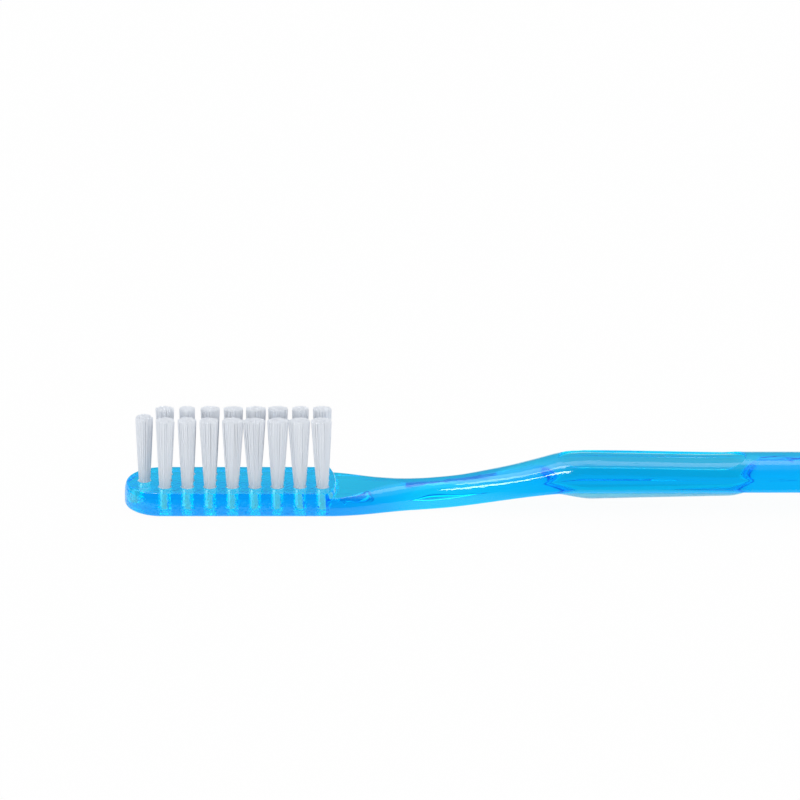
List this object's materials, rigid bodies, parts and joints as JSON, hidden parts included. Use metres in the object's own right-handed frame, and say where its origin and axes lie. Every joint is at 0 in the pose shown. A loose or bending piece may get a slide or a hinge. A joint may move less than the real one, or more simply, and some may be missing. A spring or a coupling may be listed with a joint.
{
  "type": "manual toothbrush",
  "caption": "Manual toothbrush with a clear blue one-piece handle, a flat-backed head, a slim rising neck, a shallow thumb pocket and white bristle tufts, the middle row trimmed a little lower.",
  "frame": {"origin": "on the flat back's plane, under the centre of the brush's bounding box", "axes": "+X from the head's tip to the end of the handle, +Z the way the bristles point, +Y across the head"},
  "size_m": [0.19, 0.0116, 0.0136],
  "materials": {
    "clear_blue_plastic": "glossy, transparent, tinted sky blue all through",
    "bristles": "translucent white nylon filament",
    "anchor_metal": "cut flat wire, plain"
  },
  "bodies": {
    "root": {"handle": "clear_blue_plastic", "tip_tuft": "bristles", "front_tuft_1": "bristles", "front_tuft_2": "bristles", "front_tuft_3": "bristles", "front_tuft_4": "bristles", "front_tuft_5": "bristles", "front_tuft_6": "bristles", "front_tuft_7": "bristles", "front_tuft_8": "bristles", "middle_tuft_1": "bristles", "middle_tuft_2": "bristles", "middle_tuft_3": "bristles", "middle_tuft_4": "bristles", "middle_tuft_5": "bristles", "middle_tuft_6": "bristles", "middle_tuft_7": "bristles", "middle_tuft_8": "bristles", "back_tuft_1": "bristles", "back_tuft_2": "bristles", "back_tuft_3": "bristles", "back_tuft_4": "bristles", "back_tuft_5": "bristles", "back_tuft_6": "bristles", "back_tuft_7": "bristles", "back_tuft_8": "bristles", "tuft_anchors": "anchor_metal"}
  },
  "joints": []
}
